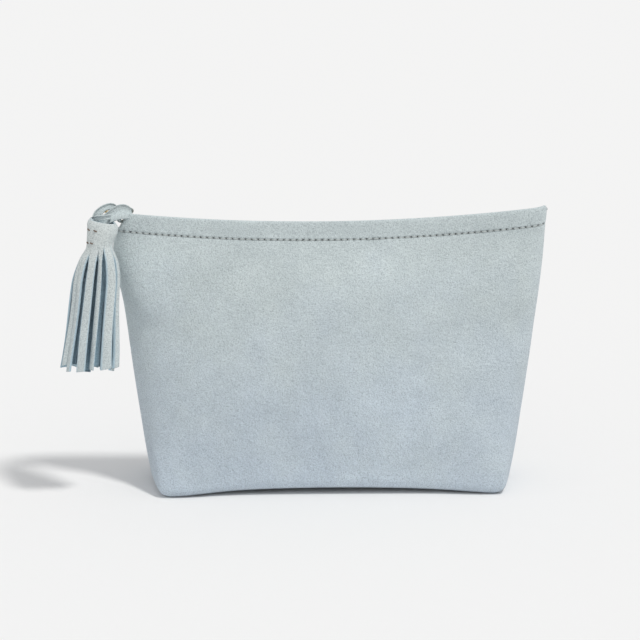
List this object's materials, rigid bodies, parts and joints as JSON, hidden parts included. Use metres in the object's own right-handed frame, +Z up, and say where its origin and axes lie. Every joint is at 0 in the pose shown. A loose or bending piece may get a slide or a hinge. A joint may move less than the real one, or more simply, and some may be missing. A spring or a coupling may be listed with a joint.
{
  "type": "zippered pouch",
  "caption": "Soft suede zippered pouch with a boxed flat base, tapered ends, a lined inside and a fringed tassel hanging from the zip's pull.",
  "frame": {"origin": "centre of the flat base, on the surface that the pouch stands on", "axes": "+Z up, the front wall faces -Y, +X along the zip towards its closed far end; the tassel hangs at -X"},
  "size_m": [0.283, 0.0766, 0.1693],
  "materials": {
    "suede": "brushed suede nap, matt",
    "tassel_suede": "brushed suede nap, matt",
    "lining": "plain woven cotton",
    "thread": "twisted polyester thread",
    "tassel_thread": "twisted waxed thread",
    "zipper_tape": "woven herringbone tape",
    "brass_teeth": "polished",
    "brass": "polished"
  },
  "bodies": {
    "bag": {"front_panel": "suede", "front_lining": "lining", "front_topstitch": "thread", "front_zipper_tape": "zipper_tape", "front_zipper_teeth": "brass_teeth", "front_top_stop": "brass_teeth", "bottom_stop": "brass_teeth"},
    "back_wall": {"back_panel": "suede", "back_lining": "lining", "back_topstitch": "thread", "back_zipper_tape": "zipper_tape", "back_zipper_teeth": "brass_teeth", "back_top_stop": "brass_teeth"},
    "slider": {"slider_body": "brass", "slider_bridge": "brass"},
    "puller": {"puller": "brass"},
    "lace": {"lace_loop": "tassel_suede"},
    "knot": {"lace_knot": "tassel_suede"},
    "tassel": {"tassel_wrap": "tassel_suede", "tassel_core": "tassel_suede", "tassel_stitches": "tassel_thread"}
  },
  "joints": [
    {"name": "mouth_open", "type": "hinge", "parent": "bag", "child": "back_wall", "pos_m": [0, 0.035, 0], "axis": [-1, 0, 0], "range_deg": [0, 8]},
    {"name": "zipper_slide", "type": "slide", "parent": "bag", "child": "slider", "axis": [1, 0, 0], "range_m": [0, 0.218], "deforming": ["front_zipper_teeth", "back_zipper_teeth"]},
    {"name": "puller_flip", "type": "hinge", "parent": "slider", "child": "puller", "pos_m": [-0.109, 0, 0.157], "axis": [0, 1, 0], "range_deg": [0, 126], "deforming": ["lace_loop"]},
    {"name": "lace_hang", "type": "hinge", "parent": "puller", "child": "lace", "pos_m": [-0.11866, 0, 0.15959], "axis": [0, 1, 0], "range_deg": [-125, 0], "deforming": ["lace_loop"]},
    {"name": "tassel_swing", "type": "hinge", "parent": "lace", "child": "knot", "pos_m": [-0.131, -0.0164, 0.1665], "axis": [-1, 0, 0], "range_deg": [0, 50], "deforming": ["lace_loop"]},
    {"name": "tassel_sway", "type": "hinge", "parent": "knot", "child": "tassel", "pos_m": [-0.131, -0.0164, 0.1636], "axis": [0, 1, 0], "range_deg": [-35, 35]}
  ],
  "couplings": [
    {"joint": "mouth_open", "follows": "zipper_slide", "rad_per_m": 0.6398},
    {"joint": "puller_flip", "follows": "lace_hang", "ratio": -1}
  ]
}
